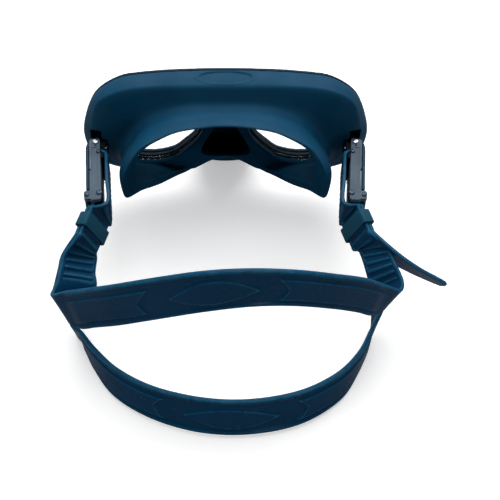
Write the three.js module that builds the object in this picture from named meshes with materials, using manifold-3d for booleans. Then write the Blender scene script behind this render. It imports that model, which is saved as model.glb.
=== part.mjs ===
// Diving mask: a silicone skirt with a nose pocket, a hard front frame with two glass lenses,
// two swivelling quick-release buckles and a one-piece split silicone strap.
// Millimetres, +Z up. +Y is the way the wearer looks, +X the side drawn as "right".
// The shapes are drawn in the rim's own frame, where y = 0 is the crease behind the rim, and the
// whole mask is moved once at the end, so that the origin is on the flat land under the nose pocket.
import * as THREE from 'three';
import { mergeVertices } from 'three/addons/utils/BufferGeometryUtils.js';
import Module from 'manifold-3d';

// ---- driving dimensions -------------------------------------------------------------------
const RIM_TOP = 96.4;           // height of the rim's front edge above the table, less the land
const LAND = { y: 29, z: 10 };  // the flat land under the nose pocket, in the rim's frame
const GAP = 0.35;               // clearance between resting or fitted pieces
const RAKE = 0.12;              // the lens plane leans back this much per mm going down
const BOW = { front: 14.4, back: 7, halfWidth: 84 }; // the front bows back by 7 at half width 84
const FRAME_THICK = 2.2;
const FRAME_PROUD = 0.3;        // how far the frame stands outside the rim's outline
const EYE_X = 42;               // middle of one lens
const TOE = 0.0787;             // each lens turns outwards by 4.5 degrees
const RETAINER_FRONT = 11.8;    // y of the lens retainer's front at EYE_X, before the rake
const RETAINER_THICK = 2;
const GLASS_THICK = 3.2;
const WALL_THICK = 2.4;
const LENS_LAP = 3;             // how far the glass reaches past the clear opening
const PIVOT = { y: -9, z: 54.5 };     // axis on which both buckles swivel, along X
const LUG = { x0: 74.2, x1: 77.6, r: 4.2 };
const SWIVEL_ROOM = [69.5, 94.5];     // the skirt is cut away between these, round the pivot
const SWIVEL_ROOM_R = LUG.r + 1.6;
const CHEEK = 3;                      // thickness of each cheek of the swivel block's fork
const BUCKLE = { x: 73, y: -24, tilt: 5.6 };  // roller centre, and inward tilt in degrees
const ROLLER_R = 2.8;
const STRAP_THICK = 2;
const STRAP_HALF = 10;          // half the width of the strap inside the buckle
const RAIL = { in: -1, out: 5.2, front: 10.4, rear: -37, z0: 10.5, z1: 13 };
const PIN_R = 1.1;
const PIN_HEAD = 0.5;           // how much wider the heads are, and how high
const BORE_GAP = 0.1;           // radial clearance of a pin in its bore
const LEVER = { in: 5.6, out: 7.3, front: 8, pinX: 6.8, pinY: -33, barrel: 1.6, half: 10, pinR: 0.8 };
const FAR = 60;                 // further than a cutting tool needs to reach
const KEEPER = { length: 8.5, wall: 1.2, half: 9.7 };

// ---- materials ----------------------------------------------------------------------------
const paint = (color, roughness, metalness = 0) =>
  new THREE.MeshStandardMaterial({ color, roughness, metalness });
const SILICONE = paint(0x1a3f5f, 0.55);
const STRAP_SILICONE = paint(0x163a58, 0.4);
const FRAME_PLASTIC = paint(0x2a3642, 0.45);
const BUCKLE_PLASTIC = paint(0x3d5063, 0.5);
const LEVER_PLASTIC = paint(0x18334d, 0.45);
const DARK_PLASTIC = paint(0x15181c, 0.5);
const STEEL = paint(0xb8bcc0, 0.25, 1);
const GLASS = paint(0xdfeaea, 0.05);
GLASS.transparent = true;
GLASS.opacity = 0.3;

// ---- solids -------------------------------------------------------------------------------
const wasm = await Module();
wasm.setup();

// A closed three.js geometry as a solid that can be joined and cut.
function solid(geometry) {
  const bare = geometry.index ? geometry.toNonIndexed() : geometry.clone();
  for (const name of Object.keys(bare.attributes)) {
    if (name !== 'position') bare.deleteAttribute(name);
  }
  const merged = mergeVertices(bare, 1e-4);
  const made = new wasm.Manifold(new wasm.Mesh({
    numProp: 3,
    vertProperties: new Float32Array(merged.attributes.position.array),
    triVerts: new Uint32Array(merged.index.array),
  }));
  if (made.volume() >= 0) return made;
  return solid(turnedInsideOut(merged));
}

function turnedInsideOut(geometry) {
  const turned = geometry.clone();
  const index = turned.index.array;
  for (let i = 0; i < index.length; i += 3) {
    [index[i + 1], index[i + 2]] = [index[i + 2], index[i + 1]];
  }
  return turned;
}

function geometryOf(body) {
  const mesh = body.getMesh();
  const geometry = new THREE.BufferGeometry();
  geometry.setAttribute('position', new THREE.BufferAttribute(new Float32Array(mesh.vertProperties), 3));
  geometry.setIndex(new THREE.BufferAttribute(new Uint32Array(mesh.triVerts), 1));
  geometry.computeVertexNormals();
  return geometry;
}

// The largest body of a cut piece: a cut can leave a crumb of no volume beside it.
const whole = (body) => body.decompose().reduce((a, b) => (b.volume() > a.volume() ? b : a));

function piece(name, body, material) {
  const mesh = new THREE.Mesh(geometryOf(whole(body)), material);
  mesh.name = name;
  return mesh;
}

const join = (...bodies) => bodies.reduce((a, b) => a.add(b));
const cut = (body, ...tools) => tools.reduce((a, b) => a.subtract(b), body);

// ---- simple shapes ------------------------------------------------------------------------
const block = (x0, x1, y0, y1, z0, z1) =>
  solid(new THREE.BoxGeometry(x1 - x0, y1 - y0, z1 - z0)
    .translate((x0 + x1) / 2, (y0 + y1) / 2, (z0 + z1) / 2));

// An upright cylinder from z0 to z1.
const post = (r, x, y, z0, z1, sides = 20) =>
  solid(new THREE.CylinderGeometry(r, r, z1 - z0, sides).rotateX(Math.PI / 2)
    .translate(x, y, (z0 + z1) / 2));

// A cylinder along X from x0 to x1.
const rod = (r, x0, x1, y, z, sides = 24) =>
  solid(new THREE.CylinderGeometry(r, r, x1 - x0, sides).rotateZ(Math.PI / 2)
    .translate((x0 + x1) / 2, y, z));

// The outline given in (x, z), made into a slab from y0 to y1.
function slab(outline, y0, y1) {
  const shape = new THREE.Shape(outline.map(([x, z]) => new THREE.Vector2(x, z)));
  return new THREE.ExtrudeGeometry(shape, { depth: y1 - y0, bevelEnabled: false })
    .rotateX(Math.PI / 2).translate(0, y1, 0);
}

// The outline given in (x, y), made into a plate from z0 to z1.
function plate(outline, z0, z1) {
  const shape = new THREE.Shape(outline.map(([x, y]) => new THREE.Vector2(x, y)));
  return new THREE.ExtrudeGeometry(shape, { depth: z1 - z0, bevelEnabled: false })
    .translate(0, 0, z0);
}

// A rectangle with rounded corners, counter-clockwise, in any plane.
function roundedRectangle(a0, a1, b0, b1, r, steps = 4) {
  const corners = [[a1 - r, b0 + r, -90], [a1 - r, b1 - r, 0], [a0 + r, b1 - r, 90], [a0 + r, b0 + r, 180]];
  const points = [];
  for (const [a, b, from] of corners) {
    for (let i = 0; i <= steps; i++) {
      const angle = THREE.MathUtils.degToRad(from + 90 * i / steps);
      points.push([a + r * Math.cos(angle), b + r * Math.sin(angle)]);
    }
  }
  return points;
}

// A smooth closed loop of `count` points through the control points given.
function loop(points, count) {
  const controls = points.map((p) => new THREE.Vector3(...p));
  const curve = new THREE.CatmullRomCurve3(controls, true, 'catmullrom', 0.5);
  return Array.from({ length: count }, (_, i) => curve.getPoint(i / count));
}

// The outline moved outwards by d along its own normals, in its plane.
function offset(outline, d) {
  const n = outline.length;
  return outline.map(([x, z], i) => {
    const [ax, az] = outline[(i + n - 1) % n];
    const [bx, bz] = outline[(i + 1) % n];
    const length = Math.hypot(bx - ax, bz - az);
    return [x + d * (bz - az) / length, z - d * (bx - ax) / length];
  });
}

// A closed skin over rings of equal length: a torus if `closed`, else capped at both ends.
function skin(rings, closed) {
  const n = rings[0].length;
  const points = rings.flat();
  const index = [];
  const bands = closed ? rings.length : rings.length - 1;
  for (let r = 0; r < bands; r++) {
    const a = r * n;
    const b = ((r + 1) % rings.length) * n;
    for (let i = 0; i < n; i++) {
      const j = (i + 1) % n;
      index.push(a + i, a + j, b + j, a + i, b + j, b + i);
    }
  }
  if (!closed) {
    for (const [start, flip] of [[0, true], [(rings.length - 1) * n, false]]) {
      for (let i = 1; i < n - 1; i++) {
        index.push(start, start + (flip ? i + 1 : i), start + (flip ? i : i + 1));
      }
    }
  }
  const geometry = new THREE.BufferGeometry();
  const flat = new Float32Array(points.flatMap((p) => [p.x, p.y, p.z]));
  geometry.setAttribute('position', new THREE.BufferAttribute(flat, 3));
  geometry.setIndex(index);
  return geometry;
}

// ---- the rim and the skirt's rings -----------------------------------------------------------
const RING_COUNT = 66;

// A ring that is the same on both sides, from its right half, top centre first, bottom centre last.
function ring(half) {
  const left = half.slice(1, -1).reverse().map(([x, y, z]) => [-x, y, z]);
  return loop([...half, ...left], RING_COUNT);
}

// A ring moved in towards the middle by `amount` in the xz plane.
function inset(points, amount) {
  const n = points.length;
  return points.map((p, i) => {
    const a = points[(i + n - 1) % n];
    const b = points[(i + 1) % n];
    const across = new THREE.Vector2(b.z - a.z, a.x - b.x).normalize();
    return new THREE.Vector3(p.x + amount * across.x, p.y, p.z + amount * across.y);
  });
}

const frontY = (x, z) => BOW.front - BOW.back * (x / BOW.halfWidth) ** 2 - RAKE * (RIM_TOP - z);
const RIM_OUTLINE = [[0, 95.8], [24, 95.7], [46, 95.3], [62, 93.4], [76, 84.5],
  [82.6, 70], [84.6, 56], [80.5, 41], [70, 32], [48, 28.5], [26, 25], [0, 24]];
const RIM_FRONT = RIM_OUTLINE.map(([x, z]) => [x, frontY(x, z), z]);
const CREASE = [[0, 0, 95], [24, -0.4, 95.1], [45, -1.4, 95], [61, -3.2, 93], [72.5, -4.9, 86.5],
  [77.5, -5.2, 71], [79, -4.8, 56], [75, -4.8, 43], [65, -4.3, 34.5], [46, -3, 30], [25, -1.5, 27],
  [0, -1, 26]];
const WAIST = [[0, -6, 86], [25, -6, 85], [42, -8, 80], [48, -9, 75], [52.5, -9.5, 68], [58, -10, 60],
  [62, -10, 52], [60.5, -9, 43], [53, -7, 38], [41, -5.5, 34], [24, -3, 29.5], [0, -2.5, 28.5]];
const FLARE = [[0, -15, 86.5], [25, -16.5, 85.5], [39, -19, 82], [48, -23, 77.5], [55, -27, 71],
  [60, -30, 63], [61.3, -31, 54], [59.5, -29, 46.5], [51, -21, 41.5], [39.5, -13, 37.5], [23.5, -4, 29],
  [0, -1, 31.5]];
const SEAL_EDGE = [[0, -25, 88], [24, -28, 87.5], [38, -32, 84.5], [47.5, -36, 81.5], [53.5, -40, 74.5],
  [57.2, -43, 66], [58.4, -44.5, 56], [56.5, -43, 48], [49, -33, 43.5], [38.5, -23, 38.5], [22.5, -3.5, 30],
  [0, 3, 36]];
const RIM_LIP = 8;              // width of the rim's front edge, from the outside in
const WALL_INSET = 6;           // how far the wall's edge lies inside the rim's outline
// The inside of the skin, from the seal edge forwards: outer ring, thickness there, step towards the rim.
const SKIN_INSIDE = [[4, 3.5, 2.2], [3, 2.5, 0], [2, 2.8, 0], [1, 3.6, 0]];

// The outward normal and the rearward direction of the skin at point i of ring k.
function skinFrame(rings, k, i) {
  const n = rings[k].length;
  const around = rings[k][(i + 1) % n].clone().sub(rings[k][(i + n - 1) % n]);
  const back = rings[Math.min(k + 1, rings.length - 1)][i].clone().sub(rings[k - 1][i]).normalize();
  return { out: new THREE.Vector3().crossVectors(back, around).normalize(), back };
}

// The inner face of ring k: `thick` inside it, and `forward` back along the skin towards the rim.
const innerRing = (rings, k, thick, forward) => rings[k].map((p, i) => {
  const { out, back } = skinFrame(rings, k, i);
  return p.clone().addScaledVector(out, -thick).addScaledVector(back, -forward);
});

const onFront = (points) => points.map((p) => new THREE.Vector3(p.x, frontY(p.x, p.z), p.z));

function skirtRings() {
  const outer = [RIM_FRONT, CREASE, WAIST, FLARE, SEAL_EDGE].map(ring);
  const inner = SKIN_INSIDE.map((row) => innerRing(outer, ...row));
  return [...outer, ...inner, onFront(inset(outer[0], RIM_LIP))];
}

// ---- the front: everything here is drawn upright and then leant back by the rake --------------
const lean = new THREE.Matrix4().set(1, 0, 0, 0, 0, 1, RAKE, -RAKE * RIM_TOP, 0, 0, 1, 0, 0, 0, 0, 1);
const bowY = (x) => frontY(x, RIM_TOP);
const lensY = (x) => RETAINER_FRONT - TOE * (Math.abs(x) - EYE_X);

const SHEET_STEPS = 16;
const SHEET_REACH = 92;

// A sheet that follows y = middle(x), from `behind` to `ahead` of it, tall enough to cut with.
function bentSheet(middle, behind, ahead) {
  const xs = Array.from({ length: SHEET_STEPS + 1 }, (_, i) => SHEET_REACH * (2 * i / SHEET_STEPS - 1));
  const rear = xs.map((x) => [x, middle(x) + behind]);
  const front = xs.reverse().map((x) => [x, middle(x) + ahead]);
  return plate([...rear, ...front], -FAR, 2 * FAR).applyMatrix4(lean);
}

// The clear opening of the right lens, as (x, z).
const OPENING = [[46, 37.8], [33, 39.3], [25.3, 44.8], [17, 53.3], [13.2, 63.3], [14.5, 76], [23, 84],
  [43, 86.5], [60, 82.5], [68, 71], [68.6, 56.5], [60.5, 42.2]];
const opening = loop(OPENING.map(([x, z]) => [x, 0, z]), 40).map((p) => [p.x, p.z]).reverse();
const mirror = (outline) => outline.map(([x, z]) => [-x, z]).reverse();
const outlineOf = (points) => points.map((p) => [p.x, p.z]);

// A ring or disc that follows the right lens: grown by `grow`, from `behind` to `ahead` of lensY.
function lensDisc(grow, behind, ahead, side) {
  const outline = offset(side > 0 ? opening : mirror(opening), grow);
  const tall = solid(slab(outline, -FAR, FAR));
  return tall.intersect(solid(bentSheet(lensY, behind, ahead)));
}

const stack = {};
stack.retainer = [-RETAINER_THICK, 0];
stack.glass = [stack.retainer[0] - GAP - GLASS_THICK, stack.retainer[0] - GAP];
stack.wall = [stack.glass[0] - GAP - WALL_THICK, stack.glass[0] - GAP];

function lens(side) {
  return lensDisc(LENS_LAP, ...stack.glass, side);
}

function lensRetainer(side) {
  return cut(lensDisc(LENS_LAP, ...stack.retainer, side), lensDisc(0, -FAR, FAR, side));
}

// ---- the nose pocket ----------------------------------------------------------------------------
// Each level: height, half width, front y and rear y.
const NOSE = [[10, 11.5, 34.5, 24], [12.5, 16, 35, 22], [19, 19.5, 34.5, 16.5], [28, 20.5, 31.5, 9.5],
  [37, 19.5, 26.5, 2], [46, 16.5, 21, 1], [54, 12.5, 16, 1], [60, 9.5, 12, 1]];
const NOSE_SIDES = 22;
const NOSE_SQUARENESS = 0.8;    // 1 is an ellipse, less is fuller in the corners
const NOSE_WALL = 2.2;
const UPPER_LIP = 40;           // below this height the pocket has a rear wall
const FACE_Y = -14;             // how far back the pocket is open to the face above the lip

function noseLevel(z, half, front, rear) {
  const full = (wave) => Math.sign(wave) * Math.abs(wave) ** NOSE_SQUARENESS;
  return Array.from({ length: NOSE_SIDES }, (_, i) => {
    const turn = 2 * Math.PI * i / NOSE_SIDES;
    const y = (front + rear) / 2 + (front - rear) / 2 * full(Math.sin(turn));
    return new THREE.Vector3(half * full(Math.cos(turn)), y, z);
  });
}

const noseSolid = (levels) => solid(skin(levels.map((level) => noseLevel(...level)), false));
const noseOuter = noseSolid(NOSE);
// The arch in the front frame that the pocket comes through, open at the bottom.
const noseClearance = noseSolid(NOSE.map(([z, half, front]) => [z, half + 0.5, front + 0.5, -2]));
// The inside, with a rear wall up to the upper lip and open to the face above it.
const noseInner = noseSolid(NOSE.slice(1).map(([z, half, front, rear], i, levels) => {
  const back = z < UPPER_LIP ? rear + NOSE_WALL + 0.8 : FACE_Y;
  const top = i === levels.length - 1 ? NOSE_WALL : 0;
  return [z - top, half - NOSE_WALL, front - NOSE_WALL, back];
}));

// ---- skirt and frame ------------------------------------------------------------------------------
const lugBlock = (side, grow) => {
  const [a, b] = [LUG.x0 - grow, LUG.x1 + grow];
  const [x0, x1] = side > 0 ? [a, b] : [-b, -a];
  const r = LUG.r + grow;
  const front = frontY(LUG.x1, PIVOT.z) + (grow > 0 ? FAR : GAP + 1);
  return join(block(x0, x1, PIVOT.y, front, PIVOT.z - r, PIVOT.z + r), rod(r, x0, x1, PIVOT.y, PIVOT.z));
};

// Solid silicone that the lug passes through, so that the skirt stays sealed round it.
function lugBoss(side) {
  const [a, b] = [LUG.x0 - 3, LUG.x1 + 2];
  const [x0, x1] = side > 0 ? [a, b] : [-b, -a];
  const half = LUG.r + 3;
  return block(x0, x1, -3.6, 4, PIVOT.z - half, PIVOT.z + half);
}

function skirt() {
  const rings = skirtRings();
  const body = solid(skin(rings, true));
  const wallOutline = outlineOf(inset(rings[0], WALL_INSET)).reverse();
  const wall = solid(slab(wallOutline, -FAR, FAR)).intersect(solid(bentSheet(lensY, ...stack.wall)));
  const ahead = solid(bentSheet(bowY, -0.2, FAR));
  const bosses = [1, -1].map((side) => cut(lugBoss(side), ahead));
  let made = cut(join(cut(body, ahead), wall, noseOuter, ...bosses), noseInner);
  for (const side of [1, -1]) {
    const pocket = lensDisc(LENS_LAP + GAP, stack.wall[1], FAR, side);
    const through = lensDisc(0, stack.wall[0] - 1, FAR, side);
    const [x0, x1] = side > 0 ? SWIVEL_ROOM : [-SWIVEL_ROOM[1], -SWIVEL_ROOM[0]];
    const swivelRoom = rod(SWIVEL_ROOM_R, x0, x1, PIVOT.y, PIVOT.z);
    made = cut(made, pocket, through, lugBlock(side, GAP), swivelRoom);
  }
  return made;
}

function frontFrame() {
  const outline = offset(outlineOf(ring(RIM_FRONT)).reverse(), FRAME_PROUD);
  const sheet = solid(bentSheet(bowY, GAP, GAP + FRAME_THICK));
  let made = cut(solid(slab(outline, -FAR, FAR)).intersect(sheet), noseClearance);
  for (const side of [1, -1]) {
    made = cut(join(made, lugBlock(side, 0)), lensDisc(0, -FAR, FAR, side));
  }
  return cut(made, rod(PIN_R + BORE_GAP, -SHEET_REACH, SHEET_REACH, PIVOT.y, PIVOT.z, 16));
}

// ---- strap ------------------------------------------------------------------------------------------
const buckleTilt = (side) => -side * THREE.MathUtils.degToRad(BUCKLE.tilt);

// A point given in a buckle's own frame (x outwards, y forwards, z up), in the rim's frame.
function fromBuckle(side, x, y, z) {
  return new THREE.Vector3(side * x, y, z)
    .applyAxisAngle(new THREE.Vector3(0, 0, 1), buckleTilt(side))
    .add(new THREE.Vector3(side * BUCKLE.x, BUCKLE.y, PIVOT.z));
}

// The keeper's frame: its middle, the way the strap runs, the strap's width and its outer side.
function keeperFrame(side) {
  const along = new THREE.Vector3(side * 0.3, -0.94, -0.17).normalize();
  const across = new THREE.Vector3(side * 0.48, -0.26, 0.84);
  const out = new THREE.Vector3().crossVectors(along, across).normalize();
  if (out.x * side < 0) out.negate();
  const up = new THREE.Vector3().crossVectors(out, along).normalize();
  if (up.z < 0) up.negate();
  return { middle: new THREE.Vector3(...KEEPER_MIDDLE[side > 0 ? 'right' : 'left']), along, up, out };
}

const KEEPER_MIDDLE = { right: [72.8, -69.8, 55.2], left: [-73.6, -71, 54.5] };
const PLY = (STRAP_THICK + GAP) / 2;  // from the middle of a pair of plies to the middle of one

// A station is one cut across the strap: its top edge, the two edges of the split, its bottom edge.
const station = (top, bottom, upper, lower) => {
  const middle = top.clone().add(bottom).multiplyScalar(0.5);
  return [top, upper ?? middle, lower ?? middle, bottom];
};
const at = (side, x, y, z) => new THREE.Vector3(side * x, y, z);

function inKeeper(side, along, out) {
  const k = keeperFrame(side);
  const middle = k.middle.clone().addScaledVector(k.along, along).addScaledVector(k.out, out);
  const up = k.up.clone().multiplyScalar(KEEPER.half - GAP);
  return station(middle.clone().add(up), middle.clone().sub(up));
}

function inBuckle(side, x, y) {
  return station(fromBuckle(side, x, y, STRAP_HALF), fromBuckle(side, x, y, -STRAP_HALF));
}

// From the free end of the tail, through the keeper, round the roller and back to the fork.
function sideStations(side, { tail, rear }) {
  const turn = ROLLER_R + 0.3 + STRAP_THICK / 2;
  const loose = ([top, bottom]) => station(at(side, ...top), at(side, ...bottom));
  const stations = tail.map(loose);
  stations.push(...[10, 7.5, -6, -8.2].map((along) => inKeeper(side, along, PLY)));
  stations.push(inBuckle(side, turn - 0.5, -36), inBuckle(side, turn, -18));
  for (let angle = 0; angle <= 180; angle += 30) {
    const a = THREE.MathUtils.degToRad(angle);
    stations.push(inBuckle(side, turn * Math.cos(a), turn * Math.sin(a)));
  }
  stations.push(inBuckle(side, -turn, -18), inBuckle(side, -turn, -36));
  stations.push(...[-8.2, -6, 7.5, 10].map((along) => inKeeper(side, along, -PLY)));
  stations.push(...rear.map(loose));
  return stations;
}

// The fork and the two bands behind the head: top edge, slot's upper and lower edge, bottom edge.
const BANDS = [
  [[92.5, -111, 52], [84.5, -114, 38.5], [84, -114, 36.5], [82, -109, 13]],
  [[84, -114, 60], [77, -119.5, 41], [78.5, -122, 31], [78.5, -119, 10]],
  [[72, -118.5, 71.5], [68, -123, 49], [71, -136, 31], [71, -136, 10]],
  [[56, -124, 82], [53, -128.5, 60], [58, -149.5, 31], [60, -153, 10]],
  [[35, -129, 92], [33, -134, 70], [38, -160, 31], [39, -167, 10]],
  [[12, -132, 97], [12, -137, 73.5], [12.5, -165, 31], [13, -173, 10]],
  [[-11, -132, 95], [-11, -137, 69], [-12, -164, 31], [-13, -172, 10]],
  [[-36, -129, 85.5], [-34, -134, 58.5], [-37, -157.5, 31], [-38, -164, 10]],
  [[-57, -124, 73.5], [-54, -129, 46], [-56, -147, 31], [-58, -151, 10]],
  [[-72, -118.5, 63], [-68, -124, 36.5], [-69, -134.5, 31], [-70, -134.5, 10]],
  [[-84, -114, 54.5], [-78, -120, 29.5], [-78, -121.5, 27.5], [-78, -118, 10]],
  [[-92.5, -111, 48], [-85, -114.5, 30], [-84.5, -114.5, 28], [-82.5, -109, 11]],
];

// Top and bottom edge of the free tail, tip first, and of the strap from the keeper to the fork.
// The right tail stands off and the left one lies against the strap, as the mask lies.
const RIGHT_RUN = {
  tail: [[[117.5, -108, 52.5], [117.5, -106, 48.5]], [[114.5, -106.5, 54], [114, -102.5, 46]],
    [[103, -100, 56.3], [103.3, -95, 44.5]], [[92, -91.5, 59], [90, -86, 44]]],
  rear: [[[87.5, -86, 57], [73.8, -81, 46.5]], [[91.5, -97, 55.5], [77.5, -94, 42]],
    [[94.5, -106, 52.5], [80, -102, 32]]],
};
const LEFT_RUN = {
  tail: [[[93, -106, 44.5], [83, -105, 33]], [[92.2, -102.5, 46], [75, -100, 34]],
    [[90.8, -94.5, 48.8], [73.6, -90, 37.6]], [[89.2, -87, 51.6], [73.2, -82, 39.6]]],
  rear: [[[87.4, -88, 54], [71.4, -83, 42]], [[89.2, -95, 51], [71.8, -91, 40]],
    [[90.6, -103, 48], [71.2, -100, 36]]],
};

function strapStations() {
  const bands = BANDS.map((points) => points.map((p) => new THREE.Vector3(...p)));
  const right = sideStations(1, RIGHT_RUN);
  const left = sideStations(-1, LEFT_RUN);
  const controls = [
    ...right,
    ...bands,
    ...left.reverse(),
  ];
  return { controls, forks: [right.length, controls.length - left.length - 1] };
}

const STRAP_STEPS = 2;  // cuts between one control station and the next

function strap() {
  const { controls, forks } = strapStations();
  const curves = [0, 1, 2, 3].map((edge) =>
    new THREE.CatmullRomCurve3(controls.map((c) => c[edge]), false, 'catmullrom', 0.5));
  const last = (controls.length - 1) * STRAP_STEPS;
  const split = (i) => i > forks[0] * STRAP_STEPS && i < forks[1] * STRAP_STEPS;
  const positions = [];
  const corners = [];
  for (let i = 0; i <= last; i++) {
    const t = i / last;
    const [top, upper, lower, bottom] = curves.map((curve) => curve.getPoint(t));
    const ahead = curves.map((curve) => curve.getTangent(t));
    if (!split(i)) {
      upper.add(lower).multiplyScalar(0.5);
      lower.copy(upper);
    }
    const normal = (a, b, way) => new THREE.Vector3().crossVectors(way, b.clone().sub(a)).normalize();
    const normals = [normal(top, upper, ahead[0]), normal(top, upper, ahead[1]),
      normal(lower, bottom, ahead[2]), normal(lower, bottom, ahead[3])];
    if (!split(i)) {
      normals[1].add(normals[2]).normalize();
      normals[2].copy(normals[1]);
    }
    const row = [];
    [top, upper, lower, bottom].forEach((p, edge) => {
      const twin = edge === 2 && !split(i);
      for (const face of [1, -1]) {
        if (!twin) positions.push(p.clone().addScaledVector(normals[edge], face * STRAP_THICK / 2));
        row.push(twin ? row[face > 0 ? 2 : 3] : positions.length - 1);
      }
    });
    corners.push(row);
  }
  // row: [top out, top in, upper out, upper in, lower out, lower in, bottom out, bottom in]
  const index = [];
  const quad = (a, b, c, d) => index.push(a, b, c, a, c, d);
  for (let i = 0; i < last; i++) {
    const [a, b] = [corners[i], corners[i + 1]];
    quad(a[0], b[0], b[2], a[2]);
    quad(a[4], b[4], b[6], a[6]);
    quad(a[3], b[3], b[1], a[1]);
    quad(a[7], b[7], b[5], a[5]);
    quad(a[1], b[1], b[0], a[0]);
    quad(a[6], b[6], b[7], a[7]);
    if (split(i) || split(i + 1)) {
      quad(a[2], b[2], b[3], a[3]);
      quad(a[5], b[5], b[4], a[4]);
    }
  }
  const [start, end] = [corners[0], corners[last]];
  for (const [row, flip] of [[start, false], [end, true]]) {
    const loops = [[row[0], row[2], row[3], row[1]], [row[4], row[6], row[7], row[5]]];
    for (const l of loops) quad(...(flip ? l.reverse() : l));
  }
  const geometry = new THREE.BufferGeometry();
  geometry.setAttribute('position',
    new THREE.BufferAttribute(new Float32Array(positions.flatMap((p) => [p.x, p.y, p.z])), 3));
  geometry.setIndex(index);
  return solid(geometry);
}

function keeper(side) {
  const { middle, along, up, out } = keeperFrame(side);
  const deep = STRAP_THICK + GAP / 2 + GAP;
  const wide = KEEPER.half;
  const [x1, y1] = [deep + KEEPER.wall, wide + KEEPER.wall];
  const outer = roundedRectangle(-x1, x1, -y1, y1, 1.2, 3);
  const inner = roundedRectangle(-deep, deep, -wide, wide, 0.4, 2);
  const half = KEEPER.length / 2;
  const body = cut(solid(plate(outer, -half, half)), solid(plate(inner, -half - 1, half + 1)));
  const frame = new THREE.Matrix4().makeBasis(out, up, new THREE.Vector3().crossVectors(out, up));
  frame.setPosition(middle);
  return solid(geometryOf(body).applyMatrix4(frame));
}

// ---- buckle, drawn in its own frame for the right side: x outwards, y forwards, z from the pivot -------
const BORE = PIN_R + BORE_GAP;
const WIRE_R = 0.33;
const HINGE = { x: 1.5, y: 8 };        // upright pin between the swivel block and the housing
const GUIDE = { x: 0, y: -32 };        // upright pin that keeps the two plies apart
const PIVOT_AHEAD = PIVOT.y - BUCKLE.y;

const bothWays = (z0, z1, make) => join(make(z0, z1), make(-z1, -z0));

function buckleHousing() {
  const { in: x0, out: x1, front, rear, z0, z1 } = RAIL;
  const rail = roundedRectangle(x0, x1, rear, front, 1.8);
  const ear = roundedRectangle(x1 - 3, LEVER.pinX + LEVER.barrel, LEVER.pinY - 3, LEVER.pinY + 3, 1.5);
  const rails = bothWays(z0, z1, (a, b) => join(solid(plate(rail, a, b)), solid(plate(ear, a, b))));
  const divider = block(-1.1, 1.3, -28, -ROLLER_R - 1.2, -z0 - 0.5, z0 + 0.5);
  const notch = bothWays(z0 - 1, z1 + 1, (a, b) => post(1.1, x1 + 0.5, -14, a, b, 12));
  const bores = [[HINGE.x, HINGE.y, PIN_R], [0, 0, PIN_R], [GUIDE.x, GUIDE.y, PIN_R],
    [LEVER.pinX, LEVER.pinY, LEVER.pinR]].map(([x, y, r]) => post(r + BORE_GAP, x, y, -FAR, FAR, 16));
  return cut(join(rails, divider), notch, ...bores);
}

// A turned pin: a shank with a low head at both ends.
function uprightPin(x, y, r = PIN_R) {
  const { z1 } = RAIL;
  const end = z1 + GAP;
  return join(post(r, x, y, -end - 0.1, end + 0.1, 12),
    bothWays(end, end + PIN_HEAD, (a, b) => post(r + PIN_HEAD, x, y, a, b, 12)));
}

const roller = () => cut(post(ROLLER_R, 0, 0, -STRAP_HALF, STRAP_HALF, 24), post(BORE, 0, 0, -FAR, FAR, 16));

// The block that turns on the frame's lug: a fork of two cheeks, and a knuckle for the hinge pin.
function swivelBlock() {
  const tilt = THREE.MathUtils.degToRad(BUCKLE.tilt);
  const turned = (body) => solid(geometryOf(body).translate(0, -PIVOT_AHEAD, 0)
    .rotateZ(tilt).translate(0, PIVOT_AHEAD, 0));
  const mid = (LUG.x0 + LUG.x1) / 2 - BUCKLE.x - PIVOT_AHEAD * Math.sin(tilt);
  const inner = (LUG.x1 - LUG.x0) / 2;
  const outer = inner + CHEEK;
  const reach = PIVOT_AHEAD - LUG.r - 2.2;
  const cheeks = join(block(mid - outer, mid + outer, reach, PIVOT_AHEAD, -LUG.r, LUG.r),
    rod(LUG.r, mid - outer, mid + outer, PIVOT_AHEAD, 0));
  const slot = block(mid - inner - GAP, mid + inner + GAP, PIVOT_AHEAD - LUG.r - GAP, FAR, -FAR, FAR);
  const bore = rod(BORE, mid - FAR, mid + FAR, PIVOT_AHEAD, 0, 16);
  const half = RAIL.z0 - GAP;
  const round = roundedRectangle(RAIL.in, RAIL.out, HINGE.y - 2.2, HINGE.y + 2.2, 1);
  const knuckle = solid(plate(round, -half, half));
  const hinge = post(BORE, HINGE.x, HINGE.y, -FAR, FAR, 16);
  return cut(join(knuckle, turned(cheeks)), turned(slot), turned(bore), hinge);
}

function releaseLever() {
  const { in: x0, out: x1, front, pinX, pinY, barrel, half, pinR } = LEVER;
  const cover = [[x0, pinY + 3.5], [x0 + 0.5, pinY + 1], [x1, pinY], [x1, front - 3],
    [x1 - 0.8, front], [x0 + 0.2, front], [x0, front - 3]];
  const tooth = [[x0 + 0.6, 1.2], [x0 - 0.15, 0.2], [x0 - 0.15, -0.6], [x0 + 0.6, -2.4]];
  const body = join(solid(plate(cover, -RAIL.z1 + 1, RAIL.z1 - 1)), solid(plate(tooth, -8, 8)));
  const room = bothWays(half, FAR, (a, b) => block(x0 - 1, x1 + 2, -FAR, pinY + 5, a, b));
  const springRoom = block(x0 - 3, pinX + barrel + 0.3, pinY - 4, pinY + barrel + 0.5, -3, 3);
  return cut(join(cut(body, room), post(barrel, pinX, pinY, -half, half, 20)), springRoom,
    post(pinR + BORE_GAP, pinX, pinY, -FAR, FAR, 16));
}

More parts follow.
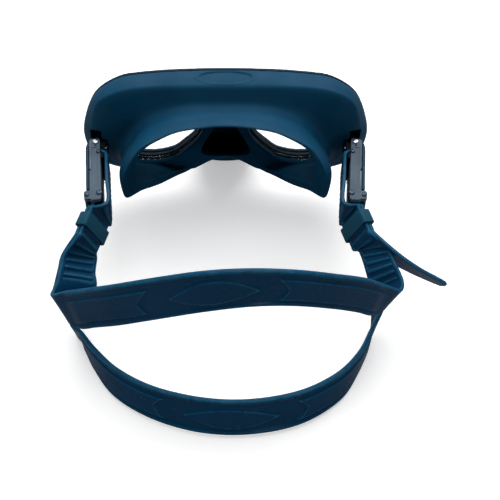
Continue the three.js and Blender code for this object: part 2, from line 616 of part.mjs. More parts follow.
// A torsion spring round the lever's pin.
function leverSpring() {
  const turns = 4;
  const steps = 9;
  const rise = 4.4;
  const r = LEVER.pinR + WIRE_R + 0.15;
  const points = Array.from({ length: turns * steps + 1 }, (_, i) => {
    const a = 2 * Math.PI * i / steps;
    const z = rise * (i / (turns * steps) - 0.5);
    return new THREE.Vector3(LEVER.pinX + r * Math.cos(a), LEVER.pinY + r * Math.sin(a), z);
  });
  const wire = new THREE.Shape();
  wire.absarc(0, 0, WIRE_R, 0, 2 * Math.PI, false);
  return solid(new THREE.ExtrudeGeometry(wire, { steps: turns * steps, curveSegments: 3, bevelEnabled: false,
    extrudePath: new THREE.CatmullRomCurve3(points) }));
}

const BUCKLE_PIECES = [
  ['buckle_housing', buckleHousing(), BUCKLE_PLASTIC],
  ['swivel_block', swivelBlock(), DARK_PLASTIC],
  ['hinge_pin', uprightPin(HINGE.x, HINGE.y), STEEL],
  ['roller_pin', uprightPin(0, 0), STEEL],
  ['guide_pin', uprightPin(GUIDE.x, GUIDE.y), STEEL],
  ['strap_roller', roller(), DARK_PLASTIC],
  ['release_lever', releaseLever(), LEVER_PLASTIC],
  ['lever_pin', uprightPin(LEVER.pinX, LEVER.pinY, LEVER.pinR), STEEL],
  ['lever_spring', leverSpring(), STEEL],
];

function swivelPin(side) {
  const [x0, x1] = [LUG.x0 - CHEEK - GAP, LUG.x1 + CHEEK + GAP];
  const shank = rod(PIN_R, x0, x1, PIVOT.y, PIVOT.z, 16);
  const heads = [[x0 - PIN_HEAD, x0], [x1, x1 + PIN_HEAD]]
    .map(([a, b]) => rod(PIN_R + 0.8, a, b, PIVOT.y, PIVOT.z, 16));
  const body = join(shank, ...heads);
  return side > 0 ? body : solid(geometryOf(body).scale(-1, 1, 1));
}

// ---- the mask ---------------------------------------------------------------------------------------
const mask = new THREE.Group();
mask.position.set(0, -LAND.y, -LAND.z);
mask.add(piece('skirt', skirt(), SILICONE));
mask.add(piece('front_frame', frontFrame(), FRAME_PLASTIC));
mask.add(piece('strap', strap(), STRAP_SILICONE));
for (const [side, name] of [[1, 'right'], [-1, 'left']]) {
  mask.add(piece(`lens_${name}`, lens(side), GLASS));
  mask.add(piece(`lens_retainer_${name}`, lensRetainer(side), DARK_PLASTIC));
  mask.add(piece(`swivel_pin_${name}`, swivelPin(side), STEEL));
  mask.add(piece(`strap_keeper_${name}`, keeper(side), STRAP_SILICONE));
  const buckle = new THREE.Group();
  buckle.position.set(side * BUCKLE.x, BUCKLE.y, PIVOT.z);
  buckle.rotation.z = buckleTilt(side);
  buckle.scale.x = side;
  for (const [part, body, material] of BUCKLE_PIECES) {
    buckle.add(piece(`${part}_${name}`, body, material));
  }
  mask.add(buckle);
}

export default mask;
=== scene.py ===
# Diving mask: the looks of every piece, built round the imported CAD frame.
# Shapes are drawn in millimetres in the rim's own frame, where y = 0 is the crease behind the rim,
# and are moved into the row frame, in metres, when a mesh is made.
import math

import bmesh
import bpy
import numpy as np
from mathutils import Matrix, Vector


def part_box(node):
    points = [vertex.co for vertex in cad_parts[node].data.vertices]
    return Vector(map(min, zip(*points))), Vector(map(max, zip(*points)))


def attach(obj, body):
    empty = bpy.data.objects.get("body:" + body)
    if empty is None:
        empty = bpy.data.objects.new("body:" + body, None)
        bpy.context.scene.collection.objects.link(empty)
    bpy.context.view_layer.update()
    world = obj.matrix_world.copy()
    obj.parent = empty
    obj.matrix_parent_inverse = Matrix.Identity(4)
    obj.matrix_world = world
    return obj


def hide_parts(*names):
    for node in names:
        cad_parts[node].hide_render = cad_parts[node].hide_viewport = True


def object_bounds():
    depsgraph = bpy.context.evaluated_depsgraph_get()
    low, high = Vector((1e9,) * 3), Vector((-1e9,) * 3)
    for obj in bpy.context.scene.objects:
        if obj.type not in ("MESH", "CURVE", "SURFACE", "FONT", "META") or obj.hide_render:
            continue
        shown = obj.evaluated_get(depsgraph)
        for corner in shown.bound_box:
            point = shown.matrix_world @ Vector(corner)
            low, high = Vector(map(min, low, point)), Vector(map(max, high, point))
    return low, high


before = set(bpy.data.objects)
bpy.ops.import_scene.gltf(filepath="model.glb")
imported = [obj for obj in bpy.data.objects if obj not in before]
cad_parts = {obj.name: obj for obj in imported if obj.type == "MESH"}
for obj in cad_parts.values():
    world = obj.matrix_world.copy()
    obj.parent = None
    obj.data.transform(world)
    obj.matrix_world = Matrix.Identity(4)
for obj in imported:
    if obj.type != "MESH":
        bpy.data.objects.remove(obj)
cad_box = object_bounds()

MM = 0.001
LAND = np.array([0.0, 29.0, 10.0])    # the row frame's origin, in the rim's frame
SIDES = {"right": 1, "left": -1}


def to_row(points):
    return (np.asarray(points, float) - LAND) * MM


def from_row(points):
    return np.asarray(points, float) / MM + LAND


def centre_of(node):
    """The middle of a CAD node's box, in the rim's frame."""
    low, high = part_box(node)
    return from_row((low + high) / 2)


# ---- materials -----------------------------------------------------------------------------------
class Nodes:
    """A short way to wire a material's node tree."""

    def __init__(self, name):
        self.material = bpy.data.materials.new(name)
        self.material.use_nodes = True
        self.tree = self.material.node_tree
        self.shader = self.tree.nodes["Principled BSDF"]
        self.output = self.tree.nodes["Material Output"]

    def add(self, kind, inputs=(), **settings):
        node = self.tree.nodes.new(kind)
        for key, value in settings.items():
            setattr(node, key, value)
        for key, value in dict(inputs).items():
            self.feed(node, key, value)
        return node

    def feed(self, node, key, value):
        if isinstance(value, bpy.types.NodeSocket):
            self.tree.links.new(value, node.inputs[key])
        else:
            node.inputs[key].default_value = value

    def place(self):
        return self.add("ShaderNodeTexCoord").outputs["Object"]

    def noise(self, scale, detail=3.0, roughness=0.55):
        inputs = {"Vector": self.place(), "Scale": scale, "Detail": detail, "Roughness": roughness}
        return self.add("ShaderNodeTexNoise", inputs).outputs["Fac"]

    def spread(self, value, low, high, start=0.3, end=0.7):
        inputs = {"Value": value, "From Min": start, "From Max": end, "To Min": low, "To Max": high}
        return self.add("ShaderNodeMapRange", inputs).outputs["Result"]

    def mix(self, share, a, b):
        node = self.add("ShaderNodeMix", data_type="RGBA")
        self.feed(node, 0, share)
        self.feed(node, 6, (*a, 1) if isinstance(a, tuple) else a)
        self.feed(node, 7, (*b, 1) if isinstance(b, tuple) else b)
        return node.outputs[2]

    def bump(self, height, strength, distance):
        inputs = {"Height": height, "Strength": strength, "Distance": distance}
        return self.add("ShaderNodeBump", inputs).outputs["Normal"]


MOTTLE = 0.35                     # how far the cloudy patches go towards the deeper colour
DEEPER = 0.55                     # the deeper colour, as a share of the plain one
GRAIN_HEIGHT = 0.0002
SOFT_GRAIN = (1400.0, 0.12)       # scale and strength of the fine grain
STRAP_GRAIN = (900.0, 0.05)
HARD_GRAIN = (3000.0, 0.2)
WORN_EDGES = (0.52, 0.60)         # the pointiness at which wear starts and is full


def moulded(name, colour, edge, roughness, sheen, grain=SOFT_GRAIN, wear_and_highlight=WORN_EDGES):
    """Moulded rubber or plastic: mottled colour, paler edges (wear, and on the strap also a painted
    highlight), fine grain and uneven gloss.
    """
    n = Nodes(name)
    cloudy = n.spread(n.noise(45.0, 4.0), 0.0, MOTTLE)
    deeper = tuple(DEEPER * c for c in colour)
    base = n.mix(cloudy, colour, deeper)
    # Paler colour on sharp edges: wear, and on the strap also a painted highlight along the raised pads'
    # outlines.
    worn_and_highlit = n.spread(n.add("ShaderNodeNewGeometry").outputs["Pointiness"], 0.0, 1.0, *wear_and_highlight)
    patchy = n.spread(n.noise(260.0), 0.35, 1.0)
    broken = n.add("ShaderNodeMath", {0: worn_and_highlit, 1: patchy}, operation="MULTIPLY").outputs[0]
    n.feed(n.shader, "Base Color", n.mix(broken, base, edge))
    n.feed(n.shader, "Roughness", n.spread(n.noise(90.0, 5.0), roughness - 0.06, roughness + 0.08))
    n.feed(n.shader, "Specular IOR Level", sheen)
    scale, strength = grain
    n.feed(n.shader, "Normal", n.bump(n.noise(scale, 2.0), strength, GRAIN_HEIGHT))
    return n


CAVITY_MIDDLE = (0.0, -15.0, 62.0)
SKIRT_SHEEN, CAVITY_SHEEN = 0.07, 0.012


def shade_inside(n):
    """Takes the sheen off the faces that look at the middle of the face cavity, which is in shade."""
    middle = tuple(float(c) for c in to_row(CAVITY_MIDDLE))
    inwards = n.add("ShaderNodeVectorMath", {0: middle, 1: n.place()}, operation="SUBTRACT").outputs[0]
    normal = n.add("ShaderNodeNewGeometry").outputs["Normal"]
    facing = n.add("ShaderNodeVectorMath", {0: inwards, 1: normal}, operation="DOT_PRODUCT")
    sheen = n.spread(facing.outputs["Value"], SKIRT_SHEEN, CAVITY_SHEEN, 0.0, 0.004)
    n.feed(n.shader, "Specular IOR Level", sheen)
    return n


def steel(name, bright, dull):
    n = Nodes(name)
    brushed = n.noise(2200.0, 2.0)
    n.feed(n.shader, "Base Color", n.mix(n.spread(n.noise(500.0), 0.0, 0.5), bright, dull))
    n.feed(n.shader, "Metallic", 1.0)
    n.feed(n.shader, "Roughness", n.spread(brushed, 0.16, 0.3))
    n.feed(n.shader, "Normal", n.bump(brushed, 0.05, 0.0001))
    return n.material


def clear_glass():
    """Glass that lets light and shadow rays through, with a mirror sheen and faint smears."""
    n = Nodes("clear_glass")
    smears = n.spread(n.noise(70.0, 6.0, 0.7), 0.02, 0.10)
    sheen = n.add("ShaderNodeBsdfGlossy", {"Color": (1, 1, 1, 1), "Roughness": smears})
    through = n.add("ShaderNodeBsdfTransparent", {"Color": (0.975, 0.99, 0.985, 1)})
    edge = n.add("ShaderNodeFresnel", {"IOR": 1.45})
    share = n.add("ShaderNodeMath", {0: edge.outputs[0], 1: 0.8}, operation="MULTIPLY")
    mixed = n.add("ShaderNodeMixShader", {0: share.outputs[0], 1: through.outputs[0], 2: sheen.outputs[0]})
    n.tree.links.new(mixed.outputs[0], n.output.inputs["Surface"])
    return n.material


SKIRT_SILICONE = shade_inside(moulded(
    "skirt_silicone", (0.004, 0.058, 0.122), (0.010, 0.085, 0.165), 0.5, SKIRT_SHEEN)).material
# On the strap the bright edge colour, from a low pointiness on, is a painted highlight on the pads'
# outlines and other sharp edges, as well as wear.
STRAP_SILICONE = moulded(
    "strap_silicone", (0.002, 0.045, 0.112), (0.014, 0.140, 0.250), 0.24, 0.09,
    grain=STRAP_GRAIN, wear_and_highlight=(0.507, 0.545)).material
KEEPER_SILICONE = moulded(
    "keeper_silicone", (0.007, 0.066, 0.115), (0.02, 0.11, 0.17), 0.4, 0.1).material
BUCKLE_PLASTIC = moulded(
    "buckle_plastic", (0.055, 0.090, 0.130), (0.15, 0.21, 0.28), 0.42, 0.2, grain=HARD_GRAIN).material
LEVER_PLASTIC = moulded(
    "lever_plastic", (0.004, 0.034, 0.066), (0.012, 0.06, 0.10), 0.4, 0.1, grain=HARD_GRAIN).material
FRAME_PLASTIC = moulded(
    "frame_plastic", (0.006, 0.028, 0.054), (0.02, 0.05, 0.08), 0.46, 0.1, grain=(2600.0, 0.25)).material
DARK_PLASTIC = moulded(
    "dark_plastic", (0.003, 0.006, 0.010), (0.01, 0.015, 0.02), 0.45, 0.1, grain=(2600.0, 0.2)).material
STEEL = steel("polished_steel", (0.62, 0.64, 0.66), (0.40, 0.42, 0.44))
DARK_STEEL = steel("dark_steel", (0.050, 0.080, 0.115), (0.020, 0.035, 0.050))
GLASS = clear_glass()


# ---- curves and outlines -------------------------------------------------------------------------
def smooth_curve(points, steps, closed=False):
    """Points on the smooth curve through `points`, `steps` of them to each stretch. Works on rings too."""
    p = np.asarray(points, float)
    if closed:
        padded = np.concatenate([p[-1:], p, p[:2]])
    else:
        padded = np.concatenate([2 * p[:1] - p[1:2], p, 2 * p[-1:] - p[-2:-1]])
    t = (np.arange(steps) / steps).reshape([-1] + [1] * (p.ndim - 1))
    stretches = []
    for i in range(len(padded) - 3):
        a, b, c, d = padded[i:i + 4]
        curve = 2 * b + (c - a) * t + (2 * a - 5 * b + 4 * c - d) * t**2 + (3 * b - a - 3 * c + d) * t**3
        stretches.append(curve / 2)
    if not closed:
        stretches.append(p[-1:])
    return np.concatenate(stretches)


def eased(value, start, end):
    """0 at `start`, 1 at `end`, with a soft step between."""
    t = np.clip((value - start) / (end - start), 0, 1)
    return t * t * (3 - 2 * t)


def offset(outline, d):
    """A counter-clockwise (x, z) outline moved outwards by d."""
    p = np.asarray(outline, float)
    along = np.roll(p, -1, 0) - np.roll(p, 1, 0)
    along /= np.linalg.norm(along, axis=1, keepdims=True)
    return p + d * np.stack([along[:, 1], -along[:, 0]], 1)


def rounded_rectangle(a0, a1, b0, b1, r, steps=6):
    turn = np.radians(np.linspace(0, 90, steps + 1))
    corners = [(a1 - r, b0 + r, -90), (a1 - r, b1 - r, 0), (a0 + r, b1 - r, 90), (a0 + r, b0 + r, 180)]
    points = []
    for a, b, start in corners:
        angle = turn + math.radians(start)
        points.append(np.stack([a + r * np.cos(angle), b + r * np.sin(angle)], 1))
    return np.concatenate(points)


# ---- meshes --------------------------------------------------------------------------------------
def new_object(name, points, faces):
    """A mesh object from points in the rim's frame, with its faces turned outwards."""
    mesh = bpy.data.meshes.new(name)
    mesh.from_pydata([tuple(p) for p in to_row(points)], [], faces)
    made = bmesh.new()
    made.from_mesh(mesh)
    bmesh.ops.remove_doubles(made, verts=made.verts, dist=1e-7)
    bmesh.ops.recalc_face_normals(made, faces=made.faces)
    made.to_mesh(mesh)
    made.free()
    obj = bpy.data.objects.new(name, mesh)
    bpy.context.scene.collection.objects.link(obj)
    return obj


def skin_faces(ring_count, n, closed):
    """Quads over rings of n points, as a torus if closed, else with a cap at each end."""
    faces = []
    for r in range(ring_count if closed else ring_count - 1):
        a = r * n
        b = ((r + 1) % ring_count) * n
        faces += [(a + i, a + (i + 1) % n, b + (i + 1) % n, b + i) for i in range(n)]
    if not closed:
        last = (ring_count - 1) * n
        faces += [tuple(range(n)), tuple(range(last, last + n))]
    return faces


def loft(name, rings, closed=False):
    rings = np.asarray(rings, float)
    return new_object(name, rings.reshape(-1, 3), skin_faces(len(rings), rings.shape[1], closed))


def plate(name, outline, z0, z1):
    """An (x, y) outline as a plate from z0 to z1."""
    flat = np.asarray(outline, float)
    rings = [np.column_stack([flat, np.full(len(flat), z)]) for z in (z0, z1)]
    return loft(name, rings)


def sheet(name, outline, middle, front, back, rings=22):
    """A closed sheet over the (x, z) outline, between the heights front(x, z) and back(x, z) along y."""
    outline = np.asarray(outline, float)
    n = len(outline)
    shares = np.linspace(1, 0.04, rings)
    layers = []
    for height, order in ((front, shares[::-1]), (back, shares)):
        for share in order:
            flat = middle + (outline - middle) * share
            layers.append(np.column_stack([flat[:, 0], height(flat[:, 0], flat[:, 1]), flat[:, 1]]))
    return new_object(name, np.concatenate(layers), skin_faces(len(layers), n, False))


def lathe(name, profile, axis_from, axis_to, sides=32):
    """A profile of (along, radius), turned round the line between two points."""
    start, end = Vector(axis_from), Vector(axis_to)
    along = (end - start).normalized()
    across = along.orthogonal().normalized()
    other = along.cross(across)
    turn = np.linspace(0, 2 * math.pi, sides, endpoint=False)
    circle = np.outer(np.cos(turn), across) + np.outer(np.sin(turn), other)
    rings = [np.array(start + along * a) + circle * r for a, r in profile]
    return loft(name, rings)


def tube(name, path, radius, sides=10):
    """A closed tube round a closed path of points."""
    path = np.asarray(path, float)
    along = np.roll(path, -1, 0) - np.roll(path, 1, 0)
    along /= np.linalg.norm(along, axis=1, keepdims=True)
    across = np.cross(along, (0, 1, 0))
    across /= np.linalg.norm(across, axis=1, keepdims=True)
    other = np.cross(along, across)
    turn = np.linspace(0, 2 * math.pi, sides, endpoint=False)[:, None]
    circles = np.cos(turn) * across[:, None] + np.sin(turn) * other[:, None]
    return loft(name, path[:, None] + radius * circles, closed=True)


def block(name, low, high):
    (x0, y0, z0), (x1, y1, z1) = low, high
    return plate(name, [(x0, y0), (x1, y0), (x1, y1), (x0, y1)], z0, z1)


def joined(name, parts):
    """Several mesh objects as one, with their shells left as they are."""
    made = bmesh.new()
    for part in parts:
        made.from_mesh(part.data)
        bpy.data.objects.remove(part)
    mesh = bpy.data.meshes.new(name)
    made.to_mesh(mesh)
    made.free()
    obj = bpy.data.objects.new(name, mesh)
    bpy.context.scene.collection.objects.link(obj)
    return obj


def settle(obj):
    """Writes the object's modifiers into its mesh."""
    graph = bpy.context.evaluated_depsgraph_get()
    mesh = bpy.data.meshes.new_from_object(obj.evaluated_get(graph))
    obj.modifiers.clear()
    obj.data = mesh
    return obj


def fuse(obj, voxel, rounds):
    """Overlapping shells as one skin with softened edges."""
    remesh = obj.modifiers.new("fuse", "REMESH")
    remesh.mode = "VOXEL"
    remesh.voxel_size = voxel * MM
    if rounds:
        soften = obj.modifiers.new("soften", "SMOOTH")
        soften.factor = 0.5
        soften.iterations = rounds
    return settle(obj)


def carve(obj, cutters, operation="DIFFERENCE", solver="MANIFOLD"):
    for cutter in cutters:
        boolean = obj.modifiers.new("carve", "BOOLEAN")
        boolean.operation = operation
        boolean.solver = solver
        boolean.object = cutter
        settle(obj)
        bpy.data.objects.remove(cutter)
    return obj


def bevel(obj, width, segments=2, angle=35):
    edge = obj.modifiers.new("bevel", "BEVEL")
    edge.width = width * MM
    edge.segments = segments
    edge.limit_method = "ANGLE"
    edge.angle_limit = math.radians(angle)
    edge.use_clamp_overlap = True
    return settle(obj)


def dress(obj, material, body, nodes, smooth_angle=None):
    """Material, shading, body and the CAD nodes that a finished piece stands for."""
    obj.data.materials.clear()
    obj.data.materials.append(material)
    obj.data.shade_smooth()
    if smooth_angle is not None:
        obj.data.set_sharp_from_angle(angle=math.radians(smooth_angle))
    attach(obj, body)
    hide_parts(*nodes)
    return obj


# ---- the rim and the skirt -----------------------------------------------------------------------
# The front face leans back by RAKE and bows back by BOW_BACK at BOW_HALF. Each lens leans the same
# way and is turned outwards by TOE about its middle, EYE_X.
RIM_TOP = 96.4
RAKE = 0.12
BOW_FRONT, BOW_BACK, BOW_HALF = 14.4, 7.0, 84.0
EYE_X, TOE, RETAINER_FRONT = 42.0, 0.0787, 11.8
RING_STEPS = 8

# Right halves of the rings, from the top centre round to the bottom centre.
RIM = [(0, 95.8), (24, 95.7), (46, 95.3), (62, 93.4), (76, 84.5), (82.6, 70),
       (84.6, 56), (80.5, 41), (70, 32), (48, 28.5), (26, 25.5), (0, 32.5)]
CREASE = [(0, 0, 95), (24, -0.4, 95.1), (45, -1.4, 95), (61, -3.2, 93), (72.5, -4.9, 86.5),
          (77.5, -5.2, 71), (79, -4.8, 56), (75, -4.8, 43), (65, -4.3, 34.5), (46, -3, 30),
          (25, -1.5, 27.5), (0, 3, 36)]
WAIST = [(0, -6, 86), (25, -6, 85), (42, -8, 80), (48, -9, 75), (52.5, -9.5, 68), (58, -10, 60),
         (62, -10, 52), (60.5, -9, 43), (53, -7, 38), (41, -5.5, 34), (24, -3, 29.5), (0, 2, 37.5)]
FLARE = [(0, -15, 86.5), (25, -16.5, 85.5), (39, -19, 82), (48, -23, 77.5), (55, -27, 71),
         (60, -30, 63), (61.3, -31, 54), (59.5, -29, 46.5), (51, -21, 41.5), (39.5, -13, 37.5),
         (23.5, -4, 29.5), (0, 1, 38.5)]
SEAL = [(0, -25, 88), (24, -28, 87.5), (38, -32, 84.5), (47.5, -36, 81.5), (53.5, -40, 74.5),
        (57.2, -43, 66), (58.4, -44.5, 56), (56.5, -43, 48), (49, -33, 43.5), (38.5, -23, 38.5),
        (22.5, -3.5, 30), (0, 3, 36)]
LIP = [(0, -24.2, 86.6), (24, -27, 86), (37, -31, 83), (45.5, -35, 79.5), (49.8, -37.5, 73.5),
       (50.9, -38, 65), (51.2, -37.5, 57), (49.6, -34.5, 51), (44, -28, 46.8), (36.5, -21, 42.5),
       (22, -3, 32.5), (0, 2, 39)]
OPENING = [(46, 37.8), (33, 39.3), (25.3, 44.8), (17, 53.3), (13.2, 63.3), (14.5, 76),
           (23, 84), (43, 86.5), (60, 82.5), (68, 71), (68.6, 56.5), (60.5, 42.2)]
FACE_MIDDLE, LENS_MIDDLE = (0.0, 62.0), (43.0, 63.0)
# Levels of the nose pocket: height, half width, front y, rear y.
NOSE = [(10, 11.5, 34.5, 24), (12.5, 16, 35, 22), (19, 19.5, 34.5, 16.5), (28, 20.5, 31.5, 9.5),
        (37, 19.5, 26.5, 2), (46, 16.5, 21, 1), (54, 12.5, 16, 1), (60, 9.5, 12, 1), (66, 8.8, 9.5, 1)]
NOSE_SQUARENESS = 0.8
NOSE_WALL, UPPER_LIP, FACE_Y = 2.2, 40, -14
LUG_X, LUG_R = (74.2, 77.6), 4.2
PIVOT_Y, PIVOT_Z = -9.0, 54.5
FAR = 60.0
# The recess in the skirt's side that the swivel block turns in, ahead of each buckle.
RECESS_X, RECESS_Z, RECESS_FRONT = (73.0, 79.5), (49.0, 66.0), 2.5


def front_y(x, z):
    return BOW_FRONT - BOW_BACK * (x / BOW_HALF) ** 2 - RAKE * (RIM_TOP - z)


def lens_y(x, z):
    return RETAINER_FRONT - TOE * (np.abs(x) - EYE_X) - RAKE * (RIM_TOP - z)


def ring(half):
    half = np.asarray(half, float)
    left = half[-2:0:-1] * [-1, 1, 1]
    return smooth_curve(np.concatenate([half, left]), RING_STEPS, closed=True)


def inset(points, amount, back=0.0):
    """A ring moved towards its middle in the xz plane, and along y by `back`."""
    along = np.roll(points, -1, 0) - np.roll(points, 1, 0)
    across = np.stack([along[:, 2], np.zeros(len(points)), -along[:, 0]], 1)
    across /= np.linalg.norm(across, axis=1, keepdims=True)
    return points + amount * across + [0, back, 0]


def between(a, b, share, bulge=0.0):
    return inset(a + (b - a) * share, -bulge)


def on_front(points, behind=0.2):
    made = points.copy()
    made[:, 1] = front_y(points[:, 0], points[:, 2]) - behind
    return made


def rim_ring():
    return ring([(x, 0, z) for x, z in RIM])


def skirt_skin():
    """The skirt's wall as a torus: from the rim back to the seal's edge and forwards again inside."""
    rim = on_front(rim_ring())
    crease, waist, flare, seal, lip = (ring(half) for half in (CREASE, WAIST, FLARE, SEAL, LIP))
    shoulder = inset(rim, 0, -1.0)
    inner_flare, inner_waist = inset(flare, 2.3), inset(waist, 2.8, -0.4)
    inner_seal = inset(seal, 2.4, 3.6)
    profile = [
        on_front(inset(rim, 8)),
        on_front(inset(rim, 1.1)),
        shoulder,
        between(shoulder, crease, 0.4, 0.7),
        between(shoulder, crease, 0.8, 0.55),
        between(shoulder, crease, 0.94, 0.2),
        between(crease, waist, 0.12),
        between(crease, waist, 0.5, -0.7),
        between(crease, waist, 0.86, -0.5),
        between(waist, flare, 0.3, -0.3),
        between(waist, flare, 0.7),
        between(flare, seal, 0.1, 0.3),
        between(flare, seal, 0.55, 0.5),
        between(flare, seal, 0.93, 0.1),
        seal,
        between(seal, lip, 0.12, 0.1),
        between(seal, lip, 0.6),
        lip,
        inset(lip, 0.2, 0.9),
        between(lip, inner_seal, 0.6) + [0, 0.8, 0],
        inner_seal,
        inner_flare,
        inner_waist,
        inset(crease, 4.0, 2.0),
    ]
    return loft("skin", smooth_curve(profile, 3, closed=True), closed=True)


def nose_shape(name, levels, sides=56):
    """A pocket through the levels, with a section between an ellipse and a rounded rectangle."""
    turn = np.linspace(0, 2 * math.pi, sides, endpoint=False)
    across, forward = (np.sign(w) * np.abs(w) ** NOSE_SQUARENESS for w in (np.cos(turn), np.sin(turn)))
    rings = []
    for z, half, front, rear in smooth_curve(levels, 4):
        y = (front + rear) / 2 + (front - rear) / 2 * forward
        rings.append(np.stack([half * across, y, np.full(sides, z)], 1))
    return loft(name, rings)


def nose_inside():
    """The hollow of the nose pocket, open to the face above the upper lip."""
    levels = []
    for z, half, front, rear in NOSE[1:]:
        back = rear + NOSE_WALL + 0.8 if z < UPPER_LIP else FACE_Y
        levels.append((z, half - NOSE_WALL, front - NOSE_WALL, back))
    top, *rest = levels[-1]
    levels[-1] = (top - NOSE_WALL, *rest)
    return nose_shape("nose_inside", levels)


def opening_outline(side, grow=0.0):
    """One lens opening as a counter-clockwise (x, z) outline."""
    outline = smooth_curve(OPENING, 8, closed=True)[::-1]
    if side < 0:
        outline = (outline * [-1, 1])[::-1]
    return offset(outline, grow)


def lens_solid(name, side, grow, front, back):
    """A flat disc over a lens opening, from `back` to `front` of the lens retainer's face."""
    middle = np.array([side * LENS_MIDDLE[0], LENS_MIDDLE[1]])
    return sheet(name, opening_outline(side, grow), middle, lambda x, z: lens_y(x, z) + front,
                 lambda x, z: lens_y(x, z) + back)


# Front and back faces, measured along y from the retainer's front face.
RETAINER = (0.0, -2.0)
GLASS_FACES = (-2.35, -5.55)
WALL_FACES = (-5.9, -8.3)
GLASS_GROW = 3.0
BEAD_R = 1.5
BOSS_REAR, BOSS_HALF = -3.6, 7.2
SWIVEL_ROOM_X, SWIVEL_ROOM_LONG = 69.5, 25


def bead(side, grow, y_of):
    """A round bead along a lens opening's edge, at the height y_of(x, z)."""
    edge = opening_outline(side, grow)
    return tube("bead", np.stack([edge[:, 0], y_of(edge[:, 0], edge[:, 1]), edge[:, 1]], 1), BEAD_R)


def skirt_cutters(side):
    """The lens pocket and opening, and the room for the frame's lug and the swivel block."""
    pocket = lens_solid("pocket", side, GLASS_GROW + GAP, FAR, WALL_FACES[0])
    through = lens_solid("through", side, 0.0, FAR, WALL_FACES[1] - 3)
    half = LUG_R + 0.4
    x0, x1 = sorted((side * (LUG_X[0] - 0.4), side * (LUG_X[1] + 0.4)))
    lug_room = block("lug_room", (x0, PIVOT_Y - half, PIVOT_Z - half), (x1, FAR, PIVOT_Z + half))
    x0, x1 = sorted((side * RECESS_X[0], side * RECESS_X[1]))
    recess = block("recess", (x0, -FAR, RECESS_Z[0]), (x1, RECESS_FRONT, RECESS_Z[1]))
    reach = LUG_R + 1.6
    start = (side * SWIVEL_ROOM_X, PIVOT_Y, PIVOT_Z)
    end = (side * (SWIVEL_ROOM_X + SWIVEL_ROOM_LONG), PIVOT_Y, PIVOT_Z)
    swivel_room = lathe("swivel_room", [(0, reach), (SWIVEL_ROOM_LONG, reach)], start, end)
    return [pocket, through, lug_room, recess, swivel_room]


def skirt():
    wall_outline = inset(rim_ring(), 6)[::-1][:, [0, 2]]
    wall = sheet("wall", wall_outline, np.array(FACE_MIDDLE), lambda x, z: lens_y(x, z) + WALL_FACES[0],
                 lambda x, z: lens_y(x, z) + WALL_FACES[1], 40)
    parts = [skirt_skin(), wall, nose_shape("nose", NOSE)]
    for side in SIDES.values():
        parts.append(bead(side, 1.3, lambda x, z: lens_y(x, z) + WALL_FACES[1] + 0.3))
        x0, x1 = sorted((side * (LUG_X[0] - 3), side * (LUG_X[1] + 2)))
        high = front_y(LUG_X[1], PIVOT_Z) - 0.3
        parts.append(block("boss", (x0, BOSS_REAR, PIVOT_Z - BOSS_HALF), (x1, high, PIVOT_Z + BOSS_HALF)))
    body = fuse(joined("skirt_body", parts), 0.55, 0)
    body = fuse(carve(body, [nose_inside(), *skirt_cutters(1), *skirt_cutters(-1)]), 0.5, 5)
    press_oval(body)
    return dress(body, SKIRT_SILICONE, "mask_body", ["skirt"])


OVAL_Y, OVAL_HALF_X, OVAL_HALF_Y, OVAL_DEPTH = 7.3, 15.7, 5.2, 0.75
OVAL_BORDER = 0.22


def get_points(obj):
    """The object's vertices, in the rim's frame."""
    flat = np.zeros(3 * len(obj.data.vertices))
    obj.data.vertices.foreach_get("co", flat)
    return from_row(flat.reshape(-1, 3))


def set_points(obj, points):
    obj.data.vertices.foreach_set("co", to_row(points).ravel())
    obj.data.update()


def press_oval(body):
    """The blank oval recess in the middle of the rim's top, with a fine raised border."""
    points = get_points(body)
    reach = np.hypot(points[:, 0] / OVAL_HALF_X, (points[:, 1] - OVAL_Y) / OVAL_HALF_Y)
    on_top = eased(points[:, 2], 92.5, 93.5)
    border = OVAL_BORDER * np.exp(-((reach - 1.1) / 0.06) ** 2)
    points[:, 2] += on_top * (border - OVAL_DEPTH * (1 - eased(reach, 0.88, 1.03)))
    set_points(body, points)


# ---- the front frame, the lenses and their retainers ---------------------------------------------
FRAME_BACK, FRAME_FRONT, FRAME_INSET = 0.35, 2.55, 0.6
ARCH_GAP, ARCH_REAR = 0.7, -2


def front_frame():
    outline = offset(rim_ring()[::-1][:, [0, 2]], -FRAME_INSET)
    parts = [sheet("plate", outline, np.array(FACE_MIDDLE), lambda x, z: front_y(x, z) + FRAME_FRONT,
                   lambda x, z: front_y(x, z) + FRAME_BACK, 44)]
    for side in SIDES.values():
        parts.append(bead(side, 1.9, lambda x, z: front_y(x, z) + FRAME_FRONT - 0.9))
        x0, x1 = sorted((side * LUG_X[0], side * LUG_X[1]))
        front = front_y(LUG_X[1], PIVOT_Z) + 1.3
        parts.append(block("lug", (x0, PIVOT_Y, PIVOT_Z - LUG_R), (x1, front, PIVOT_Z + LUG_R)))
        start, end = (x0, PIVOT_Y, PIVOT_Z), (x1, PIVOT_Y, PIVOT_Z)
        parts.append(lathe("lug_end", [(0, LUG_R), (x1 - x0, LUG_R)], start, end))
    body = fuse(joined("frame_shell", parts), 0.5, 0)
    arch = [(z, half + ARCH_GAP, front + ARCH_GAP, ARCH_REAR) for z, half, front, rear in NOSE]
    cutters = [nose_shape("nose_arch", arch)]
    cutters += [lens_solid("through", side, 0.0, FAR, -20.0) for side in SIDES.values()]
    body = fuse(carve(body, cutters), 0.42, 4)
    return dress(body, FRAME_PLASTIC, "mask_body", ["front_frame"])


def ring_round_lens(name, side, reach, y_low, y_high):
    """A ring with rounded edges, from the opening's edge outwards by `reach`."""
    section = rounded_rectangle(0.05, reach, y_low, y_high, 0.5, 3)
    rings = []
    for grow, y in section:
        edge = opening_outline(side, grow)
        rings.append(np.stack([edge[:, 0], lens_y(edge[:, 0], edge[:, 1]) + y, edge[:, 1]], 1))
    return loft(name, rings, closed=True)


